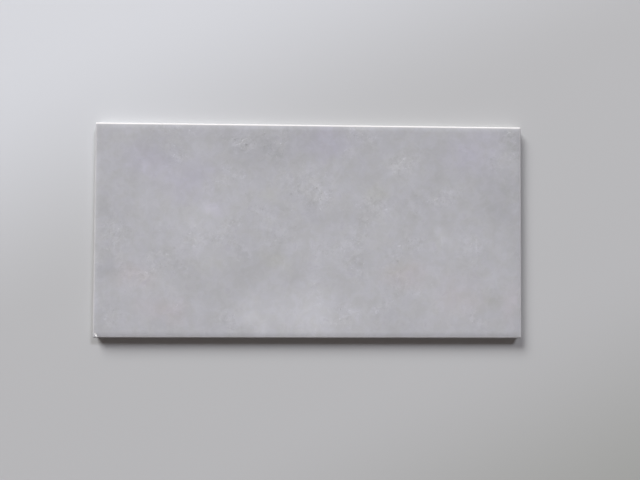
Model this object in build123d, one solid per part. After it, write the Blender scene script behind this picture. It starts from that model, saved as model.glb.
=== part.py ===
from build123d import *

import os
from math import cos, radians, sin, tan

# A glazed wall tile, pressed from pale clay as one piece and fired.
# It lies face up: +X runs along its length, +Y across its width and +Z out of the glazed face.
# The origin is the middle of the back, on the plane that the tile lies on.

# Overall size, in millimetres
length = 400.0
width = 200.0
thickness = 8.0

# Glazed face: a soft cushion falls away along every edge and ends in a tight arris
cushion_width = 5.0
cushion_slope = 9.0
arris_radius = 1.5
corner_radius = 1.0

# Sides: upright beside the face, then drafted inwards so that the tile leaves its mould
upright_side = 2.0
side_draft = 6.0
back_chamfer = 0.8

# Keying pockets pressed into the back, with ribs between them and a plain rim round them
back_rim = 8.0
rib_width = 4.0
pocket_pitch = 38.0
pocket_depth = 0.8
pocket_draft = 35.0
pocket_corner_radius = 3.0

# Heights and runs that follow from the edge's shape
cushion_radius = cushion_width / sin(radians(cushion_slope))
cushion_drop = cushion_radius * (1 - cos(radians(cushion_slope)))
arris_drop = arris_radius * cos(radians(cushion_slope))
arris_run = arris_radius * (1 - sin(radians(cushion_slope)))
upright_foot = thickness - cushion_drop - arris_drop - upright_side
draft_run = (upright_foot - back_chamfer) * tan(radians(side_draft))


def section(span):
    """Section straight across the tile: cushioned face, upright side, drafted foot and chamfer."""
    side = span / 2
    flat_end = side - arris_run - cushion_width
    back_end = side - draft_run
    with BuildSketch() as outline:
        with BuildLine():
            face = Line((0, thickness), (flat_end, thickness))
            cushion = JernArc(face @ 1, face % 1, cushion_radius, -cushion_slope)
            arris = JernArc(cushion @ 1, cushion % 1, arris_radius, cushion_slope - 90)
            Polyline(
                arris @ 1,
                (side, upright_foot),
                (back_end, back_chamfer),
                (back_end - back_chamfer, 0),
                (0, 0),
                (0, thickness),
            )
        make_face()
        mirror(about=Plane.YZ)
    return outline.sketch


def keying_pockets():
    """Shallow rounded pockets with sloping walls, spread evenly inside the back's rim."""
    field_length = length - 2 * back_rim
    field_width = width - 2 * back_rim
    columns = round(field_length / pocket_pitch)
    rows = round(field_width / pocket_pitch)
    column_pitch = (field_length + rib_width) / columns
    row_pitch = (field_width + rib_width) / rows
    with BuildPart() as pockets:
        with BuildSketch():
            with GridLocations(column_pitch, row_pitch, columns, rows):
                RectangleRounded(column_pitch - rib_width, row_pitch - rib_width, pocket_corner_radius)
        extrude(amount=pocket_depth, taper=pocket_draft)
    return pockets.part


def wall_tile():
    """The section run along both directions meets in mitres, with blunt corners and a keyed back."""
    along_length = extrude(Plane.YZ * section(width), length, both=True)
    along_width = extrude(Plane.XZ * section(length), width, both=True)
    blunt_corners = extrude(RectangleRounded(length, width, corner_radius), thickness)
    return (along_length & along_width & blunt_corners) - keying_pockets()


os.makedirs("parts", exist_ok=True)
export_step(wall_tile(), "parts/wall_tile.step")
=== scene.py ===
from collections import namedtuple
from math import copysign, cos, hypot, pi, radians, sin, tan

import bmesh
import bpy
from bpy.props import FloatProperty, FloatVectorProperty, PointerProperty
from bpy.types import Operator, Panel, PropertyGroup
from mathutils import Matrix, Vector, noise


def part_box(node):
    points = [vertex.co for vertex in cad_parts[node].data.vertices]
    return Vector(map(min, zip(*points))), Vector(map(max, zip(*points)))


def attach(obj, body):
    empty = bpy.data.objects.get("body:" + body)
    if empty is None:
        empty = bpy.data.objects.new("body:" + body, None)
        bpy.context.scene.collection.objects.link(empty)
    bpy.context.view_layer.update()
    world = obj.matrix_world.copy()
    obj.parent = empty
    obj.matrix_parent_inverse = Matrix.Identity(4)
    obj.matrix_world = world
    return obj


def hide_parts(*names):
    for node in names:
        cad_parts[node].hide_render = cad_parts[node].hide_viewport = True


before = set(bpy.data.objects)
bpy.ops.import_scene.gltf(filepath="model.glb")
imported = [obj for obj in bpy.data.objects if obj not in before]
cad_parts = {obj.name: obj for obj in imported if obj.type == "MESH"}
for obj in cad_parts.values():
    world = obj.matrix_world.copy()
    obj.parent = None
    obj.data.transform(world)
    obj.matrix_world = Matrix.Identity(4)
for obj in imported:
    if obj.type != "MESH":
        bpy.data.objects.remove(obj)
solid_low, solid_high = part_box("wall_tile")
MM = 0.001

bl_info = {
    "name": "Glazed wall tile",
    "version": (1, 0, 0),
    "blender": (4, 5, 0),
    "location": "3D View > Sidebar > Wall Tile",
    "description": "Builds a satin, cloudy grey wall tile with a cushioned edge and a keyed clay back",
    "category": "Add Mesh",
}

# How finely the surfaces are divided
FACE_SPACING = 2.0 * MM
FINE_RUN = 6.0 * MM
FINE_STEPS = 12
CORNER_RUN = 2.0 * MM
CORNER_STEPS = 5
CUSHION_STEPS = 12
ARRIS_STEPS = 9
CHIP_CUTS = 4
POCKET_WALL_STEPS = 6
POCKET_CORNER_STEPS = 6
TABLE_CELLS = 8

# Material slots of the tile's mesh
GLAZE = 0
CLAY = 1

# Where the camera stood over the tile, looking down, and its wide lens
CAMERA_PLACE = (-1.85 * MM, -17.91 * MM, 464.93 * MM)
CAMERA_TURN = (radians(1.184), radians(-1.420), radians(0.321))
CAMERA_LENS = 27.51
CAMERA_SENSOR = 36.0

Ring = namedtuple("Ring", "inset height corner")
Chip = namedtuple("Chip", "x y along across turn depth")
Patch = namedtuple("Patch", "x y reach_x reach_y turn strength")
Wander = namedtuple("Wander", "size reach")
Blots = namedtuple("Blots", "size detail roughness distortion", defaults=(2.0, 0.5, 0.0))
Spots = namedtuple("Spots", "blots start full most least", defaults=(0.0,))
Window = namedtuple("Window", "bearing width sill head power tint")

# Corners of the face's rings get rounder inwards, by the ring's inset over this
CORNER_EASING = 3.0

# Angle between two faces from which their edge stays sharp
SHARP_ANGLE = radians(40)

# Waves of the fired face: their sizes, their shares of its waver, and the level of the short ones' noise
FACE_LONG_WAVE = 70.0 * MM
FACE_LONG_SHARE = 0.4
FACE_SHORT_WAVE = 22.0 * MM
FACE_SHORT_SHARE = 0.1
FACE_SHORT_LEVEL = 0.3

# Waves of the glaze's lip: their sizes, and their shares of how far the glaze has run down
LIP_LONG_WAVE = 17.0 * MM
LIP_LONG_SHARE = 0.45
LIP_SHORT_WAVE = 3.5 * MM
LIP_SHORT_SHARE = 0.3

# How far the lip and the foot of a keying pocket are softened
POCKET_SOFTENING = 0.12 * MM

# The flake that has come off one corner of the glaze: millimetres from the tile's middle, and degrees
CORNER_CHIP = Chip(x=-196.8, y=-97.0, along=2.1, across=1.0, turn=-56, depth=0.3)

# How far round a chip the mesh is made finer, in lengths of the chip, and how uneven the chip is
CHIP_MARGIN = 1.6
CHIP_RIM_WAVE = 0.8 * MM
CHIP_RIM_SHARE = 0.3
CHIP_FLOOR_WAVE = 0.5 * MM
CHIP_FLOOR_SHARE = 0.15

# Cloudy patches in the glaze: millimetres from the tile's middle, degrees, and how pale or dark
CLOUD_PATCHES = (
    Patch(-10, -78, 95, 42, 0, 0.28),
    Patch(-140, -62, 60, 40, 0, 0.07),
    Patch(140, -62, 70, 45, 0, 0.08),
    Patch(0, -10, 60, 40, 0, 0.06),
    Patch(-130, 75, 80, 35, 0, -0.04),
    Patch(0, 90, 230, 50, 0, -0.07),
    Patch(140, 45, 75, 50, 0, -0.06),
    Patch(-50, -87, 13, 10, 0, 0.18),
    Patch(-93, 22, 16, 14, 20, 0.16),
    Patch(-110, 15, 70, 45, -30, 0.10),
    Patch(-156, 61, 9, 11, 0, 0.12),
    Patch(42, 74, 11, 10, 0, 0.12),
    Patch(85, 63, 28, 10, 35, 0.10),
    Patch(122, -8, 12, 16, 0, 0.10),
    Patch(-36, 76, 60, 24, 0, -0.12),
    Patch(5, 20, 11, 14, 0, -0.16),
    Patch(-30, 18, 16, 10, 0, -0.10),
    Patch(-190, 18, 14, 18, 0, -0.11),
    Patch(-189, -33, 20, 18, 30, -0.18),
    Patch(50, -26, 26, 12, 0, -0.08),
    Patch(180, 25, 26, 50, 10, -0.14),
    Patch(188, 84, 28, 22, 0, -0.16),
    Patch(167, -68, 24, 22, 0, -0.14),
)

# Lively places, where the glaze is speckled, wispy and pored
LIVELY_PATCHES = (
    Patch(85, 63, 26, 22, 35, 1.0),
    Patch(120, 32, 34, 18, 0, 0.9),
    Patch(60, 22, 34, 18, 0, 0.7),
    Patch(-4, 44, 46, 30, 0, 0.7),
    Patch(-62, 82, 26, 12, 0, 1.0),
    Patch(-32, -2, 26, 32, 0, 0.6),
    Patch(-104, -8, 32, 16, 0, 0.8),
    Patch(-180, -8, 22, 26, 0, 0.9),
    Patch(-164, -42, 24, 20, 0, 0.6),
    Patch(152, -14, 24, 24, 0, 0.6),
)

# Pale streaks and scratches with sharp sides
STREAKS = (
    Patch(-63, 84, 9, 0.7, 35, 0.55),
    Patch(-69, 80, 5, 0.6, 12, 0.35),
    Patch(157, -13, 1.6, 15, 0, 0.14),
    Patch(124, -8, 1.2, 12, 4, 0.10),
    Patch(86, 66, 10, 0.8, 48, 0.20),
    Patch(-24, -32, 1.0, 9, -8, 0.10),
)

# Faintly violet, pink and yellow places
VIOLET_PATCHES = (
    Patch(-150, 66, 40, 32, 0, 0.9),
    Patch(-112, 48, 40, 26, 30, 0.8),
    Patch(18, 84, 44, 24, 0, 0.8),
    Patch(152, 74, 38, 34, 0, 0.8),
    Patch(-90, 24, 16, 14, 0, 0.6),
)
PINK_PATCHES = (
    Patch(-162, -42, 30, 22, 0, 0.9),
    Patch(-134, -72, 34, 22, 0, 1.0),
    Patch(90, -38, 34, 20, 0, 0.9),
    Patch(140, -62, 40, 34, 0, 0.7),
    Patch(190, -68, 18, 24, 0, 0.8),
)
STRAW_PATCHES = (
    Patch(-35, -29, 22, 18, 0, 1.0),
    Patch(-38, 32, 14, 12, 0, 0.6),
    Patch(63, 33, 18, 12, 30, 0.8),
    Patch(-90, -28, 20, 10, 0, 0.5),
    Patch(85, -32, 18, 14, 0, 0.7),
    Patch(169, -69, 18, 16, 0, 0.8),
)

# How the outlines of patches and of streaks wander: size of the bends, and how far they reach
PATCH_WANDER = Wander(size=26 * MM, reach=34 * MM)
STREAK_WANDER = Wander(size=4 * MM, reach=4 * MM)
WANDER_DETAIL = 3.0

# Values between which most of a noise lies, and its middle
NOISE_LOW = 0.3
NOISE_MIDDLE = 0.5
NOISE_HIGH = 0.7

# The glaze's shade between its darkest, 0, and its palest, 1, before clouds and spots change it
MIDDLE_SHADE = 0.5

# Soft clouds all over the glaze: their noise, and its weight
CLOUDS = (
    (Blots(42 * MM, 3.0, 0.55, 0.2), 0.33),
    (Blots(12 * MM, 3.0, 0.55, 0.3), 0.22),
    (Blots(3 * MM, 2.0, 0.5, 0.3), 0.06),
)

# Spots in the glaze: their noise, its values where a spot starts and is full, and how pale or dark it is
DABS = Spots(Blots(9 * MM, 4.0, 0.5, 0.5), start=0.49, full=0.52, most=0.048)
PALE_DABS = Spots(Blots(5 * MM, 3.0, 0.5, 0.5), start=0.54, full=0.57, most=0.13)
DARK_DABS = Spots(Blots(5 * MM, 3.0, 0.5, 0.5), start=0.42, full=0.39, most=-0.11)
FLECKS = Spots(Blots(3.2 * MM, 2.0, 0.5, 0.8), start=0.66, full=0.72, most=0.40)
PORES = Spots(Blots(2.7 * MM, 1.0, 0.5, 0.6), start=0.30, full=0.24, most=-0.34)

# Where the glaze is lively between its lively patches, where it is smudged, and where it is cool
SCATTER = Spots(Blots(30 * MM), start=0.52, full=0.68, most=0.7, least=0.08)
SMUDGES = Spots(Blots(9 * MM, 3.0, 0.6, 0.6), start=0.58, full=0.74, most=0.30)
HUE = Spots(Blots(12 * MM, 3.0, 0.6, 0.4), start=0.35, full=0.65, most=1.0)

# Speckle of the glaze, and the veins along which pale wisps lie
SPECKLE = Blots(1.4 * MM, 2.0, 0.6)
SPECKLE_WEIGHT = 0.34
VEINS = Blots(15 * MM, 4.0, 0.6, 0.9)
WISP_WIDTH = 0.012
WISP_SHADE = 0.14

# Gloss and grain of the glaze
GLOSS_CLOUDS = Blots(13 * MM, 3.0, 0.6)
GLOSS_SWING = 0.04
GLAZE_GRAIN = Blots(0.9 * MM, 2.0, 0.6)

# Pale band over an arris, partly thin glaze and partly painted highlight, outwards from the tile's
# outline: where it begins and where it ends
PALE_ARRIS_BEGIN = (-2.0 * MM, -1.2 * MM)
PALE_ARRIS_END = (-0.5 * MM, -0.1 * MM)

# Tint, grain and pits of the clay: their noise, their weights, and shades of the clay's colour, with
# painted shade in the pits
CLAY_TINT = Blots(24 * MM, 3.0, 0.5)
CLAY_TINT_WEIGHT = 0.7
CLAY_GRAIN = Blots(0.7 * MM, 3.0, 0.7)
CLAY_GRAIN_WEIGHT = 0.3
CLAY_PITS = Spots(Blots(1.6 * MM, 2.0, 0.6), start=0.62, full=0.72, most=1.0)
CLAY_PIT_DEPTH = 0.5
CLAY_PIT_PAINTED_SHADE = 0.72
CLAY_DARK = 0.88
CLAY_PALE = 1.12
CLAY_SMOOTHEST = 0.82
CLAY_ROUGHEST = 0.95

# Heights between which the clay passes into slip and the kiln wash ends, and how patchy the wash is
SLIP_RISE = (6.0 * MM, 6.6 * MM)
WASH_END = (0.05 * MM, 0.3 * MM)
WASH_PATCHES = Spots(Blots(6 * MM, 5.0, 0.7, 0.4), start=0.40, full=0.62, most=0.9, least=0.15)

# Where the table's painted light and sheen pass from one colour to the next, in reaches of that painted
# light behind the tile's middle
PAINTED_LIGHT_FRONT_FADE = (-1.10, -0.45)
PAINTED_LIGHT_BACK_FADE = (0.10, 0.75)


class TileSizes(PropertyGroup):
    """Sizes of the pressed and fired tile"""

    length: FloatProperty(
        name="Length",
        description="Long side of the tile",
        default=solid_high.x - solid_low.x,
        min=50 * MM,
        unit="LENGTH",
    )
    width: FloatProperty(
        name="Width",
        description="Short side of the tile",
        default=solid_high.y - solid_low.y,
        min=50 * MM,
        unit="LENGTH",
    )
    thickness: FloatProperty(
        name="Thickness",
        description="From the ribs of the back to the glazed face",
        default=solid_high.z - solid_low.z,
        min=6 * MM,
        unit="LENGTH",
    )
    cushion_width: FloatProperty(
        name="Cushion width",
        description="How far from the arris the face starts to fall away",
        default=5.0 * MM,
        unit="LENGTH",
    )
    cushion_slope: FloatProperty(
        name="Cushion slope",
        description="Slope of the face where the cushion meets the arris",
        default=radians(9),
        subtype="ANGLE",
    )
    arris_radius: FloatProperty(
        name="Arris radius",
        description="Rounding between the face and the side",
        default=1.5 * MM,
        unit="LENGTH",
    )
    corner_radius: FloatProperty(
        name="Corner radius",
        description="Rounding of the four corners, seen from above",
        default=1.0 * MM,
        unit="LENGTH",
    )
    upright_side: FloatProperty(
        name="Upright side",
        description="Height of the upright band below the arris",
        default=2.0 * MM,
        unit="LENGTH",
    )
    side_draft: FloatProperty(
        name="Side draft",
        description="How far the side leans inwards towards the back",
        default=radians(6),
        subtype="ANGLE",
    )
    back_chamfer: FloatProperty(
        name="Back chamfer",
        description="Chamfer between the side and the back",
        default=0.8 * MM,
        unit="LENGTH",
    )
    glaze_run: FloatProperty(
        name="Glaze run",
        description="How far the glaze has run down the side below the arris",
        default=0.3 * MM,
        unit="LENGTH",
    )
    glaze_lip: FloatProperty(
        name="Glaze lip",
        description="Thickness of the glaze where it ends on the side",
        default=0.12 * MM,
        unit="LENGTH",
    )
    face_waver: FloatProperty(
        name="Face waver",
        description="How far the fired face sags at most between its high places",
        default=0.06 * MM,
        unit="LENGTH",
    )
    back_rim: FloatProperty(
        name="Back rim",
        description="Plain rim round the keying pockets of the back",
        default=8.0 * MM,
        unit="LENGTH",
    )
    rib_width: FloatProperty(
        name="Rib width",
        description="Width of the ribs between two keying pockets",
        default=4.0 * MM,
        unit="LENGTH",
    )
    pocket_pitch: FloatProperty(
        name="Pocket pitch",
        description="Distance wanted from one keying pocket to the next",
        default=38.0 * MM,
        unit="LENGTH",
    )
    pocket_depth: FloatProperty(
        name="Pocket depth",
        description="Depth of the keying pockets",
        default=0.8 * MM,
        unit="LENGTH",
    )
    pocket_draft: FloatProperty(
        name="Pocket draft",
        description="How far the walls of the keying pockets lean",
        default=radians(35),
        subtype="ANGLE",
    )
    pocket_corner_radius: FloatProperty(
        name="Pocket corner radius",
        description="Rounding of the pockets' corners",
        default=3.0 * MM,
        unit="LENGTH",
    )


class TileFinish(PropertyGroup):
    """Colours and surface of the glaze and of the bare clay"""

    glaze: FloatVectorProperty(
        name="Glaze",
        description="Mean colour of the cloudy glaze",
        default=(0.482, 0.487, 0.521),
        min=0.0,
        max=1.0,
        subtype="COLOR",
    )
    smudge: FloatVectorProperty(
        name="Smudges",
        description="Bluish smudges in the glaze",
        default=(0.421, 0.408, 0.472),
        min=0.0,
        max=1.0,
        subtype="COLOR",
    )
    warm_cast: FloatVectorProperty(
        name="Warm cast",
        description="Tint of the glaze's slightly warm places",
        default=(1.000, 1.000, 0.985),
        min=0.0,
        max=2.0,
        subtype="COLOR",
    )
    cool_cast: FloatVectorProperty(
        name="Cool cast",
        description="Tint of the glaze's slightly cool places",
        default=(1.000, 1.000, 1.012),
        min=0.0,
        max=2.0,
        subtype="COLOR",
    )
    violet_cast: FloatVectorProperty(
        name="Violet cast",
        description="Tint of the glaze's faintly violet places",
        default=(1.008, 0.990, 1.068),
        min=0.0,
        max=2.0,
        subtype="COLOR",
    )
    pink_cast: FloatVectorProperty(
        name="Pink cast",
        description="Tint of the glaze's faintly pink places",
        default=(1.030, 0.992, 0.992),
        min=0.0,
        max=2.0,
        subtype="COLOR",
    )
    straw_cast: FloatVectorProperty(
        name="Straw cast",
        description="Tint of the glaze's faintly yellow places",
        default=(1.000, 1.002, 0.955),
        min=0.0,
        max=2.0,
        subtype="COLOR",
    )
    # Pale colour of the arrises: partly thin glaze, partly painted highlight
    thin_glaze_and_highlight: FloatVectorProperty(
        name="Thin glaze",
        description="Colour of the glaze where it has pulled thin over the arris",
        default=(0.785, 0.774, 0.774),
        min=0.0,
        max=1.0,
        subtype="COLOR",
    )
    # Share of the pale arris colour on three arrises: partly thin glaze, partly painted highlight
    thin_glaze_and_highlight_share: FloatProperty(
        name="Thinness",
        description="How much of the thin glaze's colour shows on three of the arrises",
        default=0.24,
        min=0.0,
        max=1.0,
        subtype="FACTOR",
    )
    # Share of the pale arris colour towards +Y, facing the windows: mostly painted highlight
    far_painted_highlight_share: FloatProperty(
        name="Thinness at the far side",
        description="How much of the thin glaze's colour shows on the arris towards +Y",
        default=0.95,
        min=0.0,
        max=1.0,
        subtype="FACTOR",
    )
    cloud_contrast: FloatProperty(
        name="Cloud contrast",
        description="How much paler and darker than the mean the clouds get",
        default=0.34,
        min=0.0,
        max=1.0,
        subtype="FACTOR",
    )
    glaze_roughness: FloatProperty(
        name="Glaze roughness",
        description="From 0, a glossy glaze, to 1, a dead matt one",
        default=0.34,
        min=0.0,
        max=1.0,
        subtype="FACTOR",
    )
    clay: FloatVectorProperty(
        name="Clay",
        description="Fired cream clay of the body",
        default=(0.60, 0.585, 0.545),
        min=0.0,
        max=1.0,
        subtype="COLOR",
    )
    slip: FloatVectorProperty(
        name="Slip",
        description="White slip between clay and glaze, which a chip in the glaze has bared",
        default=(0.92, 0.92, 0.93),
        min=0.0,
        max=1.0,
        subtype="COLOR",
    )
    kiln_wash: FloatVectorProperty(
        name="Kiln wash",
        description="White powder that the kiln leaves on the ribs of the back",
        default=(0.78, 0.77, 0.74),
        min=0.0,
        max=1.0,
        subtype="COLOR",
    )


class StageLook(PropertyGroup):
    """Table, windows and room round the tile"""

    table_size: FloatProperty(
        name="Table size",
        description="Side of the square table top",
        default=3.2,
        unit="LENGTH",
    )
    table_gap: FloatProperty(
        name="Table gap",
        description="How far the table top lies below the tile, so that their faces don't coincide",
        default=0.02 * MM,
        unit="LENGTH",
    )
    # Table colours from front to back hold painted light and sheen: darker away from the windows, paler
    # and cooler towards them
    table_near_painted_light: FloatVectorProperty(
        name="Table in front",
        description="Colour of the table top in front, away from the windows",
        default=(0.424, 0.434, 0.424),
        min=0.0,
        max=1.0,
        subtype="COLOR",
    )
    table_middle_painted_light: FloatVectorProperty(
        name="Table round the tile",
        description="Colour of the table top round the tile",
        default=(0.559, 0.567, 0.584),
        min=0.0,
        max=1.0,
        subtype="COLOR",
    )
    table_far_painted_light_and_sheen: FloatVectorProperty(
        name="Table behind",
        description="Colour of the table top on the windows' side",
        default=(0.750, 0.772, 0.820),
        min=0.0,
        max=1.0,
        subtype="COLOR",
    )
    table_roughness: FloatProperty(
        name="Table roughness",
        description="From 0, a polished table top, to 1, a dead matt one",
        default=0.55,
        min=0.0,
        max=1.0,
        subtype="FACTOR",
    )
    table_sheen: FloatProperty(
        name="Table sheen",
        description="How strongly the table top reflects",
        default=0.35,
        min=0.0,
        max=1.0,
        subtype="FACTOR",
    )
    # Bearing and reach of the table's painted light and sheen
    painted_light_bearing: FloatProperty(
        name="Drift bearing",
        description="How far to the left of straight behind the tile the table gets paler",
        default=radians(26),
        subtype="ANGLE",
    )
    painted_light_reach: FloatProperty(
        name="Drift reach",
        description="Distance from the tile's middle at which the table has reached its end colours",
        default=0.35,
        unit="LENGTH",
    )
    window_distance: FloatProperty(
        name="Window distance",
        description="How far behind the tile the windows stand",
        default=9.0,
        unit="LENGTH",
    )
    left_bearing: FloatProperty(
        name="Left window bearing",
        description="How far to the left of straight behind the tile the left window stands",
        default=radians(29.9),
        subtype="ANGLE",
    )
    left_width: FloatProperty(
        name="Left window width",
        description="Width of the left window",
        default=5.44,
        unit="LENGTH",
    )
    left_sill: FloatProperty(
        name="Left window sill",
        description="Height of the left window's foot over the table",
        default=2.46,
        unit="LENGTH",
    )
    left_head: FloatProperty(
        name="Left window head",
        description="Height of the left window's top over the table",
        default=5.92,
        unit="LENGTH",
    )
    left_power: FloatProperty(
        name="Left window power",
        description="Light that the left window gives",
        default=1448.0,
        min=0.0,
        unit="POWER",
    )
    left_tint: FloatVectorProperty(
        name="Left window tint",
        description="Colour of the light from the left window",
        default=(1.005, 1.0, 0.980),
        min=0.0,
        max=2.0,
        subtype="COLOR",
    )
    right_bearing: FloatProperty(
        name="Right window bearing",
        description="How far to the right of straight behind the tile the right window stands",
        default=radians(32.9),
        subtype="ANGLE",
    )
    right_width: FloatProperty(
        name="Right window width",
        description="Width of the right window",
        default=3.14,
        unit="LENGTH",
    )
    right_sill: FloatProperty(
        name="Right window sill",
        description="Height of the right window's foot over the table",
        default=5.84,
        unit="LENGTH",
    )
    right_head: FloatProperty(
        name="Right window head",
        description="Height of the right window's top over the table",
        default=8.34,
        unit="LENGTH",
    )
    right_power: FloatProperty(
        name="Right window power",
        description="Light that the right window gives",
        default=630.0,
        min=0.0,
        unit="POWER",
    )
    right_tint: FloatVectorProperty(
        name="Right window tint",
        description="Colour of the light from the right window, which looks on the sky",
        default=(0.985, 1.0, 1.060),
        min=0.0,
        max=2.0,
        subtype="COLOR",
    )
    glint: FloatProperty(
        name="Glint",
        description="How much of the windows' light shows in reflections",
        default=0.20,
        min=0.0,
        max=1.0,
        subtype="FACTOR",
    )
    room_light: FloatVectorProperty(
        name="Room light",
        description="Light that comes from the rest of the room",
        default=(0.105, 0.087, 0.080),
        min=0.0,
        max=1.0,
        subtype="COLOR",
    )
    room_view: FloatVectorProperty(
        name="Room view",
        description="Pale surroundings that the camera and reflections see",
        default=(0.62, 0.62, 0.63),
        min=0.0,
        max=1.0,
        subtype="COLOR",
    )


def spread(start, end, count):
    """Evenly spaced values from start to end, both of them included."""
    return [start + (end - start) * step / count for step in range(count + 1)]


def grid_lines(half):
    """Grid lines of the flat field along one direction, closer together beside its corners."""
    turning = half - CORNER_RUN
    inner = turning - FINE_RUN
    middle = spread(-inner, inner, round(2 * inner / FACE_SPACING))
    corner = spread(inner, turning, FINE_STEPS)[1:] + spread(turning, half, CORNER_STEPS)[1:]
    return [-place for place in reversed(corner)] + middle + corner


def face_sag(x, y, waver):
    """How far the fired face lies below its highest level, which is half the waver in the mean."""
    long_wave = noise.noise(Vector((x, y, 0)) / FACE_LONG_WAVE)
    short_wave = noise.noise(Vector((x, y, FACE_SHORT_LEVEL)) / FACE_SHORT_WAVE)
    return waver * (0.5 + FACE_LONG_SHARE * long_wave + FACE_SHORT_SHARE * short_wave)


def cushion_drop(sizes):
    """How far the cushion falls from the flat field to the arris."""
    return sizes.cushion_width * (1 - cos(sizes.cushion_slope)) / sin(sizes.cushion_slope)


def upright_top(sizes):
    """Height at which the arris turns into the upright side."""
    return sizes.thickness - cushion_drop(sizes) - sizes.arris_radius * cos(sizes.cushion_slope)


def field_inset(sizes):
    """Distance from the outline to the flat field."""
    return sizes.cushion_width + sizes.arris_radius * (1 - sin(sizes.cushion_slope))


def face_rings(sizes):
    """Rings that carry the glazed face down its cushion and round its arris."""
    sweep = sizes.cushion_width / sin(sizes.cushion_slope)
    section = []
    for turn in spread(0, sizes.cushion_slope, CUSHION_STEPS)[1:]:
        inset = field_inset(sizes) - sweep * sin(turn)
        section.append((inset, sizes.thickness - sweep * (1 - cos(turn))))
    for turn in spread(sizes.cushion_slope, pi / 2, ARRIS_STEPS)[1:]:
        inset = sizes.arris_radius * (1 - sin(turn))
        section.append((inset, upright_top(sizes) + sizes.arris_radius * cos(turn)))
    return [
        Ring(inset, height, sizes.corner_radius + inset / CORNER_EASING)
        for inset, height in section
    ]


def side_rings(sizes):
    """Rings of bare clay from below the glaze down to the back's rim."""
    upright_foot = upright_top(sizes) - sizes.upright_side
    draft_run = (upright_foot - sizes.back_chamfer) * tan(sizes.side_draft)
    corner = sizes.corner_radius
    return [
        Ring(sizes.glaze_lip, upright_foot, corner),
        Ring((sizes.glaze_lip + draft_run) / 2, (upright_foot + sizes.back_chamfer) / 2, corner),
        Ring(draft_run, sizes.back_chamfer, corner),
        Ring(draft_run + sizes.back_chamfer, 0.0, corner),
    ]


def slide(along, field_half, ring_half, corner):
    """Moves a place on the field's border out to a ring: its place along the side, and its setback."""
    straight = field_half - CORNER_RUN
    flat = ring_half - corner
    if abs(along) <= straight:
        return along * flat / straight, 0.0
    turn = (abs(along) - straight) / CORNER_RUN * pi / 4
    return copysign(flat + corner * sin(turn), along), corner * (1 - cos(turn))


def ring_points(ring, border, field, outline):
    """Points of one closed ring, one for each point of the field's border."""
    half_x = outline.x - ring.inset
    half_y = outline.y - ring.inset
    points = []
    for x, y in border:
        if abs(abs(y) - field.y) < abs(abs(x) - field.x):
            place, setback = slide(x, field.x, half_x, ring.corner)
            points.append(Vector((place, copysign(half_y - setback, y), ring.height)))
        else:
            place, setback = slide(y, field.y, half_y, ring.corner)
            points.append(Vector((copysign(half_x - setback, x), place, ring.height)))
    return points


def border_places(columns, rows):
    """Grid places round the edge of the field, in order."""
    bottom = [(column, 0) for column in range(columns - 1)]
    right = [(columns - 1, row) for row in range(rows - 1)]
    top = [(column, rows - 1) for column in range(columns - 1, 0, -1)]
    left = [(0, row) for row in range(rows - 1, 0, -1)]
    return bottom + right + top + left


def join_rings(mesh, inner, outer, material):
    """Skins the gap between two closed rings that have as many vertices."""
    for step in range(len(inner)):
        corners = (inner[step - 1], outer[step - 1], outer[step], inner[step])
        mesh.faces.new(corners).material_index = material


def lay_ring(mesh, inner, points, material):
    """Adds a ring of vertices and skins it to the ring before."""
    outer = [mesh.verts.new(point) for point in points]
    join_rings(mesh, inner, outer, material)
    return outer


def build_face(mesh, sizes):
    """Flat field, cushion and arris; gives the last ring, the field's border, and both half sizes."""
    outline = Vector((sizes.length / 2, sizes.width / 2))
    field = Vector((outline.x - field_inset(sizes), outline.y - field_inset(sizes)))
    columns = grid_lines(field.x)
    rows = grid_lines(field.y)
    grid = [
        [mesh.verts.new((x, y, sizes.thickness - face_sag(x, y, sizes.face_waver))) for y in rows]
        for x in columns
    ]
    for column in range(len(columns) - 1):
        for row in range(len(rows) - 1):
            corners = (
                grid[column][row],
                grid[column + 1][row],
                grid[column + 1][row + 1],
                grid[column][row + 1],
            )
            mesh.faces.new(corners).material_index = GLAZE
    places = border_places(len(columns), len(rows))
    border = [(columns[column], rows[row]) for column, row in places]
    ring = [grid[column][row] for column, row in places]
    for level in face_rings(sizes):
        points = ring_points(level, border, field, outline)
        for point in points:
            point.z -= face_sag(point.x, point.y, sizes.face_waver)
        ring = lay_ring(mesh, ring, points, GLAZE)
    return ring, border, field, outline


def build_glaze_edge(mesh, sizes, ring, border, field, outline):
    """The glaze runs a little down the side and ends in a thin, wavering lip."""
    foot = upright_top(sizes) - sizes.glaze_run
    outer = ring_points(Ring(0.0, foot, sizes.corner_radius), border, field, outline)
    inner = ring_points(Ring(sizes.glaze_lip, foot, sizes.corner_radius), border, field, outline)
    for lip, clay in zip(outer, inner):
        long_wave = noise.noise(lip / LIP_LONG_WAVE)
        short_wave = noise.noise(lip / LIP_SHORT_WAVE)
        lip.z += sizes.glaze_run * (LIP_LONG_SHARE * long_wave + LIP_SHORT_SHARE * short_wave)
        clay.z = lip.z - sizes.glaze_lip
    ring = lay_ring(mesh, ring, outer, GLAZE)
    return lay_ring(mesh, ring, inner, GLAZE)


def rounded_loop(mesh, middle, half, corner, height):
    """A closed loop of vertices round a rectangle with rounded corners."""
    loop = []
    for quarter, (side_x, side_y) in enumerate(((1, 1), (-1, 1), (-1, -1), (1, -1))):
        for turn in spread(quarter * pi / 2, (quarter + 1) * pi / 2, POCKET_CORNER_STEPS):
            x = middle.x + side_x * (half.x - corner) + corner * cos(turn)
            y = middle.y + side_y * (half.y - corner) + corner * sin(turn)
            loop.append(mesh.verts.new((x, y, height)))
    return loop


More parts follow.
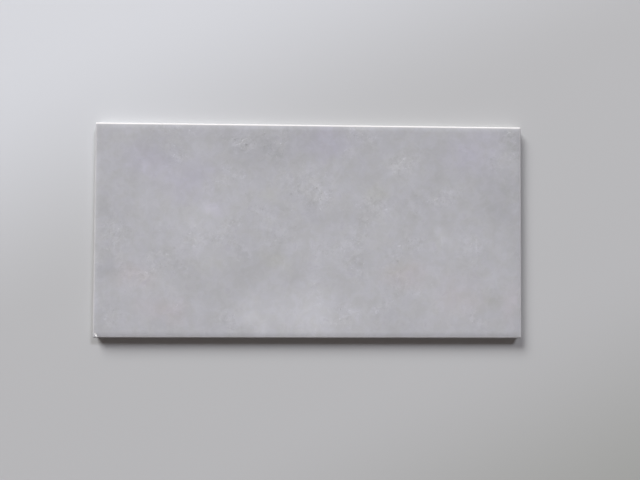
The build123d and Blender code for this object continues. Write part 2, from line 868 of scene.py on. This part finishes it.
def build_pocket(mesh, middle, half, sizes):
    """One keying pocket with a soft lip and foot; gives its lip."""
    wall_run = sizes.pocket_depth * tan(sizes.pocket_draft)
    loops = []
    for step in spread(0, 1, POCKET_WALL_STEPS):
        inset = (wall_run + 2 * POCKET_SOFTENING) * step - POCKET_SOFTENING
        height = sizes.pocket_depth * step * step * (3 - 2 * step)
        reach = Vector((half.x - inset, half.y - inset))
        loops.append(rounded_loop(mesh, middle, reach, sizes.pocket_corner_radius - inset, height))
    for outer, inner in zip(loops, loops[1:]):
        join_rings(mesh, outer, inner, CLAY)
    mesh.faces.new(loops[-1]).material_index = CLAY
    return loops[0]


def loop_edges(mesh, loop):
    """Edges of a closed loop of vertices, made where they are missing."""
    edges = []
    for step in range(len(loop)):
        ends = (loop[step - 1], loop[step])
        edges.append(mesh.edges.get(ends) or mesh.edges.new(ends))
    return edges


def build_back(mesh, sizes, rim):
    """Keying pockets, and the plane of ribs and rim that is left between them."""
    field_length = sizes.length - 2 * sizes.back_rim
    field_width = sizes.width - 2 * sizes.back_rim
    columns = round(field_length / sizes.pocket_pitch)
    rows = round(field_width / sizes.pocket_pitch)
    pitch = Vector(((field_length + sizes.rib_width) / columns, (field_width + sizes.rib_width) / rows))
    half = Vector(((pitch.x - sizes.rib_width) / 2, (pitch.y - sizes.rib_width) / 2))
    edges = loop_edges(mesh, rim)
    for column in range(columns):
        for row in range(rows):
            middle = Vector((pitch.x * (column - (columns - 1) / 2), pitch.y * (row - (rows - 1) / 2)))
            edges += loop_edges(mesh, build_pocket(mesh, middle, half, sizes))
    filled = bmesh.ops.triangle_fill(
        mesh,
        use_beauty=True,
        use_dissolve=False,
        edges=edges,
        normal=(0, 0, -1),
    )
    for piece in filled["geom"]:
        if isinstance(piece, bmesh.types.BMFace):
            piece.material_index = CLAY


def chip_reach(chip, point):
    """How far out of the chip's middle a point lies; the ragged rim is at 1."""
    turn = radians(chip.turn)
    x = point.x - chip.x * MM
    y = point.y - chip.y * MM
    along = (x * cos(turn) + y * sin(turn)) / (chip.along * MM)
    across = (y * cos(turn) - x * sin(turn)) / (chip.across * MM)
    ragged = noise.noise(Vector((point.x, point.y, 0)) / CHIP_RIM_WAVE)
    return hypot(along, across) + CHIP_RIM_SHARE * ragged


def break_chip(mesh, chip, face_level):
    """A flake has come off the glaze and bares the white slip in a shallow scar."""
    middle = Vector((chip.x * MM, chip.y * MM))
    far = CHIP_MARGIN * chip.along * MM
    near = {
        vertex
        for vertex in mesh.verts
        if vertex.co.z > face_level and (vertex.co.xy - middle).length < far
    }
    edges = [edge for edge in mesh.edges if near.issuperset(edge.verts)]
    bmesh.ops.subdivide_edges(mesh, edges=edges, cuts=CHIP_CUTS, use_grid_fill=True)
    scar = {}
    for vertex in mesh.verts:
        reach = chip_reach(chip, vertex.co)
        if vertex.co.z > face_level and reach < 1:
            scar[vertex] = reach
    for face in mesh.faces:
        if all(vertex in scar for vertex in face.verts):
            face.material_index = CLAY
    for vertex, reach in scar.items():
        ripple = CHIP_FLOOR_SHARE * noise.noise(vertex.co / CHIP_FLOOR_WAVE)
        vertex.co.z -= chip.depth * MM * (1 - reach * reach) * (1 + ripple)


def check_closed(mesh):
    """The fired piece has to be one closed skin."""
    open_edges = [edge for edge in mesh.edges if not edge.is_manifold]
    loose = [vertex for vertex in mesh.verts if not vertex.link_faces]
    if open_edges or loose:
        faults = f"{len(open_edges)} open edges and {len(loose)} loose vertices"
        raise RuntimeError(f"the tile's skin has {faults}")


def make_tile_mesh(sizes):
    """The whole tile as one closed mesh."""
    mesh = bmesh.new()
    ring, border, field, outline = build_face(mesh, sizes)
    ring = build_glaze_edge(mesh, sizes, ring, border, field, outline)
    for level in side_rings(sizes):
        ring = lay_ring(mesh, ring, ring_points(level, border, field, outline), CLAY)
    build_back(mesh, sizes, ring)
    break_chip(mesh, CORNER_CHIP, upright_top(sizes))
    check_closed(mesh)
    bmesh.ops.recalc_face_normals(mesh, faces=mesh.faces)
    for face in mesh.faces:
        face.smooth = True
    data = bpy.data.meshes.new("wall_tile_body")
    mesh.to_mesh(data)
    mesh.free()
    return data


def add_node(tree, kind, inputs=None, **settings):
    """Adds a shader node, sets it up, and fills its inputs with values or other nodes' outputs."""
    node = tree.nodes.new("ShaderNode" + kind)
    for name, value in settings.items():
        setattr(node, name, value)
    for name, value in (inputs or {}).items():
        if isinstance(value, bpy.types.NodeSocket):
            tree.links.new(value, node.inputs[name])
        else:
            node.inputs[name].default_value = value
    return node


def add_noise(tree, place, blots):
    """Cloudy noise, whose values lie round its middle."""
    inputs = {
        "Vector": place,
        "Scale": 1 / blots.size,
        "Detail": blots.detail,
        "Roughness": blots.roughness,
        "Distortion": blots.distortion,
    }
    return add_node(tree, "TexNoise", inputs).outputs["Fac"]


def add_centred_noise(tree, place, blots):
    """Cloudy noise, whose values lie round zero."""
    return add_math(tree, "SUBTRACT", add_noise(tree, place, blots), NOISE_MIDDLE)


def add_range(tree, value, low, high, start=0.0, end=1.0):
    """Brings the values from low to high to the range from start to end, softly."""
    inputs = {"Value": value, "From Min": low, "From Max": high, "To Min": start, "To Max": end}
    return add_node(tree, "MapRange", inputs, interpolation_type="SMOOTHSTEP").outputs["Result"]


def add_spots(tree, place, spots):
    """Spots where the noise passes from their start to full."""
    blots = add_noise(tree, place, spots.blots)
    return add_range(tree, blots, spots.start, spots.full, spots.least, spots.most)


def add_math(tree, operation, first, second, third=0.0):
    """Works out one sum of two or three values."""
    return add_node(tree, "Math", {0: first, 1: second, 2: third}, operation=operation).outputs[0]


def add_vectors(tree, operation, first, second):
    """Works out one sum of two vectors, part by part."""
    return add_node(tree, "VectorMath", {0: first, 1: second}, operation=operation).outputs[0]


def add_mix(tree, factor, first, second):
    """Mixes two colours."""
    return add_node(tree, "Mix", {0: factor, 6: first, 7: second}, data_type="RGBA").outputs[2]


def opaque(colour, shade=1.0):
    """A colour with full alpha, made paler or darker."""
    return tuple(part * shade for part in colour) + (1.0,)


def new_material(name):
    """An empty material with its shader, and where the surface lies in the tile's own frame."""
    material = bpy.data.materials.new(name)
    material.use_nodes = True
    tree = material.node_tree
    shader = tree.nodes["Principled BSDF"]
    place = add_node(tree, "TexCoord").outputs["Object"]
    return material, tree, shader, place


def add_bump(tree, shader, height, strength, distance):
    """Fine relief of a surface."""
    inputs = {"Height": height, "Strength": strength, "Distance": distance}
    tree.links.new(add_node(tree, "Bump", inputs).outputs["Normal"], shader.inputs["Normal"])


def wandering_place(tree, place, wander):
    """The place on the face, seen from above and shifted to and fro so that outlines wander."""
    inputs = {"Vector": place, "Scale": 1 / wander.size, "Detail": WANDER_DETAIL}
    bends = add_node(tree, "TexNoise", inputs).outputs["Color"]
    centred = add_vectors(tree, "SUBTRACT", bends, (NOISE_MIDDLE,) * 3)
    shift = add_vectors(tree, "MULTIPLY", centred, (wander.reach,) * 3)
    moved = add_vectors(tree, "ADD", place, shift)
    return add_vectors(tree, "MULTIPLY", moved, (1.0, 1.0, 0.0))


def add_patches(tree, flat, patches, total):
    """Adds listed patches that fade out towards their rims."""
    for patch in patches:
        inputs = {
            "Vector": flat,
            "Location": (patch.x * MM, patch.y * MM, 0.0),
            "Rotation": (0.0, 0.0, radians(patch.turn)),
            "Scale": (patch.reach_x * MM, patch.reach_y * MM, 1.0),
        }
        own = add_node(tree, "Mapping", inputs, vector_type="TEXTURE").outputs[0]
        blot = add_node(tree, "TexGradient", {"Vector": own}, gradient_type="SPHERICAL").outputs["Fac"]
        total = add_math(tree, "MULTIPLY_ADD", add_range(tree, blot, 0.0, 1.0), patch.strength, total)
    return total


def add_cast(tree, colour, share, cast):
    """Tints a colour where the share is high."""
    inputs = {0: share, 6: colour, 7: opaque(cast)}
    return add_node(tree, "Mix", inputs, data_type="RGBA", blend_type="MULTIPLY").outputs[2]


def add_thin_glaze_and_painted_highlight(tree, place, colour, finish, sizes):
    """Glaze paler over the arris: partly glaze pulled thin, partly a painted highlight; palest over the
    far arris, which faces the windows and is mostly painted highlight.
    """
    axes = add_node(tree, "SeparateXYZ", {0: place})
    from_middle = add_math(tree, "ABSOLUTE", axes.outputs["X"], 0.0)
    forwards = add_math(tree, "MULTIPLY", axes.outputs["Y"], -1.0)
    beside = add_math(tree, "SUBTRACT", from_middle, sizes.length / 2)
    near = add_math(tree, "SUBTRACT", forwards, sizes.width / 2)
    far = add_math(tree, "SUBTRACT", axes.outputs["Y"], sizes.width / 2)
    three_sides = add_math(tree, "MAXIMUM", beside, near)
    # The far arris gets nearly the full pale colour, as painted highlight
    for outwards, most in ((three_sides, finish.thin_glaze_and_highlight_share), (far, finish.far_painted_highlight_share)):
        begin = add_range(tree, outwards, *PALE_ARRIS_BEGIN)
        end = add_range(tree, outwards, *PALE_ARRIS_END, most, 0.0)
        share = add_math(tree, "MULTIPLY", begin, end)
        colour = add_mix(tree, share, colour, opaque(finish.thin_glaze_and_highlight))
    return colour


def shade_glaze(tree, place, wandering):
    """How pale the glaze is: soft clouds everywhere, and speckle, wisps and pores in lively places."""
    lively = add_patches(tree, wandering, LIVELY_PATCHES, add_spots(tree, place, SCATTER))
    total = MIDDLE_SHADE
    for blots, weight in CLOUDS:
        total = add_math(tree, "MULTIPLY_ADD", add_centred_noise(tree, place, blots), weight, total)
    total = add_math(tree, "ADD", add_spots(tree, place, DABS), total)
    for spots in (PALE_DABS, DARK_DABS, FLECKS, PORES):
        total = add_math(tree, "MULTIPLY_ADD", add_spots(tree, place, spots), lively, total)
    speckle = add_math(tree, "MULTIPLY", add_centred_noise(tree, place, SPECKLE), SPECKLE_WEIGHT)
    total = add_math(tree, "MULTIPLY_ADD", speckle, lively, total)
    from_vein = add_math(tree, "ABSOLUTE", add_centred_noise(tree, place, VEINS), 0.0)
    wisps = add_range(tree, from_vein, 0.0, WISP_WIDTH, WISP_SHADE, 0.0)
    total = add_math(tree, "MULTIPLY_ADD", wisps, lively, total)
    total = add_patches(tree, wandering_place(tree, place, STREAK_WANDER), STREAKS, total)
    return add_patches(tree, wandering, CLOUD_PATCHES, total)


def make_glaze(finish, sizes):
    """Satin glaze with soft clouds, faint tints, lively places, and a pale arris that is partly thin
    glaze and partly painted highlight.
    """
    material, tree, shader, place = new_material("cloudy satin glaze")
    wandering = wandering_place(tree, place, PATCH_WANDER)
    dark = opaque(finish.glaze, 1 - finish.cloud_contrast)
    pale = opaque(finish.glaze, 1 + finish.cloud_contrast)
    colour = add_mix(tree, shade_glaze(tree, place, wandering), dark, pale)
    colour = add_mix(tree, add_spots(tree, place, SMUDGES), colour, opaque(finish.smudge))
    cool = add_spots(tree, place, HUE)
    colour = add_cast(tree, colour, cool, finish.cool_cast)
    colour = add_cast(tree, colour, add_math(tree, "SUBTRACT", 1.0, cool), finish.warm_cast)
    for patches, cast in (
        (VIOLET_PATCHES, finish.violet_cast),
        (PINK_PATCHES, finish.pink_cast),
        (STRAW_PATCHES, finish.straw_cast),
    ):
        colour = add_cast(tree, colour, add_patches(tree, wandering, patches, 0.0), cast)
    # Pale arris: thin glaze and painted highlight
    colour = add_thin_glaze_and_painted_highlight(tree, place, colour, finish, sizes)
    tree.links.new(colour, shader.inputs["Base Color"])

    gloss = add_noise(tree, place, GLOSS_CLOUDS)
    low = finish.glaze_roughness - GLOSS_SWING
    high = finish.glaze_roughness + GLOSS_SWING
    roughness = add_range(tree, gloss, NOISE_LOW, NOISE_HIGH, low, high)
    tree.links.new(roughness, shader.inputs["Roughness"])
    add_bump(tree, shader, add_noise(tree, place, GLAZE_GRAIN), strength=0.05, distance=0.05 * MM)
    return material


def make_clay(finish):
    """Bare fired clay, cream and matt, with painted shade in its pits, white slip under the glaze and
    kiln wash on the ribs.
    """
    material, tree, shader, place = new_material("cream fired clay")
    height = add_node(tree, "SeparateXYZ", {0: place}).outputs["Z"]
    grain = add_noise(tree, place, CLAY_GRAIN)
    pits = add_spots(tree, place, CLAY_PITS)
    tint = add_math(tree, "MULTIPLY", add_noise(tree, place, CLAY_TINT), CLAY_TINT_WEIGHT)
    shade = add_math(tree, "MULTIPLY_ADD", grain, CLAY_GRAIN_WEIGHT, tint)
    colour = add_mix(tree, shade, opaque(finish.clay, CLAY_DARK), opaque(finish.clay, CLAY_PALE))
    # Painted shade in the clay's pits
    colour = add_mix(tree, pits, colour, opaque(finish.clay, CLAY_PIT_PAINTED_SHADE))
    colour = add_mix(tree, add_range(tree, height, *SLIP_RISE), colour, opaque(finish.slip))
    ribs = add_range(tree, height, *WASH_END, 1.0, 0.0)
    wash = add_math(tree, "MULTIPLY", ribs, add_spots(tree, place, WASH_PATCHES))
    colour = add_mix(tree, wash, colour, opaque(finish.kiln_wash))
    tree.links.new(colour, shader.inputs["Base Color"])

    roughness = add_range(tree, grain, NOISE_LOW, NOISE_HIGH, CLAY_SMOOTHEST, CLAY_ROUGHEST)
    tree.links.new(roughness, shader.inputs["Roughness"])
    relief = add_math(tree, "MULTIPLY_ADD", pits, -CLAY_PIT_DEPTH, grain)
    add_bump(tree, shader, relief, strength=0.35, distance=0.12 * MM)
    return material


def make_table_top(stage):
    """Pale table top with a soft sheen, and painted light and sheen in its colour: paler and cooler
    towards the windows.
    """
    material, tree, shader, place = new_material("pale table top")
    inputs = {
        "Vector": place,
        "Rotation": (0.0, 0.0, stage.painted_light_bearing),
        "Scale": (stage.painted_light_reach,) * 3,
    }
    # Painted light and sheen across the table, rising towards the windows
    painted_light_drift = add_node(tree, "Mapping", inputs, vector_type="TEXTURE").outputs[0]
    share = add_node(tree, "SeparateXYZ", {0: painted_light_drift}).outputs["Y"]
    colour = opaque(stage.table_near_painted_light)
    for fade, next_colour in (
        (PAINTED_LIGHT_FRONT_FADE, stage.table_middle_painted_light),
        (PAINTED_LIGHT_BACK_FADE, stage.table_far_painted_light_and_sheen),
    ):
        colour = add_mix(tree, add_range(tree, share, *fade), colour, opaque(next_colour))
    tree.links.new(colour, shader.inputs["Base Color"])
    shader.inputs["Roughness"].default_value = stage.table_roughness
    shader.inputs["Specular IOR Level"].default_value = stage.table_sheen
    return material


def add_object(name, data):
    """Puts new data into the scene as an object."""
    piece = bpy.data.objects.new(name, data)
    bpy.context.scene.collection.objects.link(piece)
    return piece


class WALLTILE_OT_tile(Operator):
    """Build the pressed, glazed and fired tile"""

    bl_idname = "wall_tile.build_tile"
    bl_label = "Tile"

    def execute(self, context):
        scene = context.scene
        tile = add_object("wall_tile_body", make_tile_mesh(scene.tile_sizes))
        tile.data.materials.append(make_glaze(scene.tile_finish, scene.tile_sizes))
        tile.data.materials.append(make_clay(scene.tile_finish))
        tile.data.set_sharp_from_angle(angle=SHARP_ANGLE)
        shading = tile.modifiers.new("True shading of flat places", "WEIGHTED_NORMAL")
        shading.keep_sharp = True
        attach(tile, "root")
        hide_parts("wall_tile")
        return {"FINISHED"}


class WALLTILE_OT_stage(Operator):
    """Set up the table, the windows' light, the room and the camera"""

    bl_idname = "wall_tile.build_stage"
    bl_label = "Stage"

    def execute(self, context):
        stage = context.scene.stage_look
        self.lay_table(stage)
        self.light_windows(stage)
        self.light_room(context.scene, stage)
        self.place_camera(context.scene)
        context.scene.view_settings.view_transform = "Standard"
        return {"FINISHED"}

    def lay_table(self, stage):
        """A level table top under the tile."""
        mesh = bmesh.new()
        half = stage.table_size / 2
        bmesh.ops.create_grid(mesh, x_segments=TABLE_CELLS, y_segments=TABLE_CELLS, size=half)
        data = bpy.data.meshes.new("table_top")
        mesh.to_mesh(data)
        mesh.free()
        data.materials.append(make_table_top(stage))
        table = add_object("table_top", data)
        table.location.z = -stage.table_gap

    def light_windows(self, stage):
        """Two windows behind the tile: a low, broad one on the left and a higher one on the right."""
        left = Window(
            bearing=stage.left_bearing,
            width=stage.left_width,
            sill=stage.left_sill,
            head=stage.left_head,
            power=stage.left_power,
            tint=stage.left_tint,
        )
        right = Window(
            bearing=-stage.right_bearing,
            width=stage.right_width,
            sill=stage.right_sill,
            head=stage.right_head,
            power=stage.right_power,
            tint=stage.right_tint,
        )
        for name, window in (("left_window", left), ("right_window", right)):
            piece = self.hang_window(name, window, stage.window_distance, 1.0)
            piece.visible_glossy = False
        for name, window in (("left_glint", left), ("right_glint", right)):
            piece = self.hang_window(name, window, stage.window_distance, stage.glint)
            piece.visible_diffuse = False

    def hang_window(self, name, window, distance, share):
        """One window behind the tile, turned to face it, with a share of its light."""
        lamp = bpy.data.lights.new(name, "AREA")
        lamp.color = window.tint
        lamp.shape = "RECTANGLE"
        lamp.size = window.width
        lamp.size_y = window.head - window.sill
        lamp.energy = window.power * share
        piece = add_object(name, lamp)
        height = (window.sill + window.head) / 2
        turn = window.bearing
        piece.location = (-distance * sin(turn), distance * cos(turn), height)
        piece.rotation_euler = (-pi / 2, 0, turn)
        piece.visible_camera = False
        return piece

    def light_room(self, scene, stage):
        """Dim light from all round, with pale surroundings for the camera and for reflections."""
        world = bpy.data.worlds.new("pale_room")
        world.use_nodes = True
        tree = world.node_tree
        rays = add_node(tree, "LightPath")
        seen = add_math(tree, "MAXIMUM", rays.outputs["Is Camera Ray"], rays.outputs["Is Glossy Ray"])
        seen = add_math(tree, "MAXIMUM", seen, rays.outputs["Is Transmission Ray"])
        colour = add_mix(tree, seen, opaque(stage.room_light), opaque(stage.room_view))
        tree.links.new(colour, tree.nodes["Background"].inputs["Color"])
        scene.world = world

    def place_camera(self, scene):
        """The camera looks straight down on the tile, as in the photograph."""
        camera = add_object("camera", bpy.data.cameras.new("camera"))
        camera.data.sensor_width = CAMERA_SENSOR
        camera.data.lens = CAMERA_LENS
        camera.location = CAMERA_PLACE
        camera.rotation_euler = CAMERA_TURN
        scene.camera = camera


class WALLTILE_PT_sidebar(Panel):
    """Sizes, colours and steps of the wall tile"""

    bl_idname = "WALLTILE_PT_sidebar"
    bl_label = "Wall Tile"
    bl_space_type = "VIEW_3D"
    bl_region_type = "UI"
    bl_category = "Wall Tile"

    def draw(self, context):
        for step in OPERATORS:
            self.layout.operator(step.bl_idname)
        for title, group in (
            ("Sizes", context.scene.tile_sizes),
            ("Finish", context.scene.tile_finish),
            ("Stage", context.scene.stage_look),
        ):
            box = self.layout.box()
            box.label(text=title)
            for name in group.__annotations__:
                box.prop(group, name)


OPERATORS = (WALLTILE_OT_tile, WALLTILE_OT_stage)
PROPERTY_GROUPS = (TileSizes, TileFinish, StageLook)


def register():
    for part in PROPERTY_GROUPS + OPERATORS + (WALLTILE_PT_sidebar,):
        bpy.utils.register_class(part)
    bpy.types.Scene.tile_sizes = PointerProperty(type=TileSizes)
    bpy.types.Scene.tile_finish = PointerProperty(type=TileFinish)
    bpy.types.Scene.stage_look = PointerProperty(type=StageLook)


def unregister():
    del bpy.types.Scene.stage_look
    del bpy.types.Scene.tile_finish
    del bpy.types.Scene.tile_sizes
    for part in reversed(PROPERTY_GROUPS + OPERATORS + (WALLTILE_PT_sidebar,)):
        bpy.utils.unregister_class(part)


def corners(bounds):
    """A box as plain lists of numbers."""
    return [list(corner) for corner in bounds]


def main():
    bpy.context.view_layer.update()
    register()
    bpy.ops.wall_tile.build_tile()
    bpy.ops.wall_tile.build_stage()


if __name__ == "__main__":
    main()
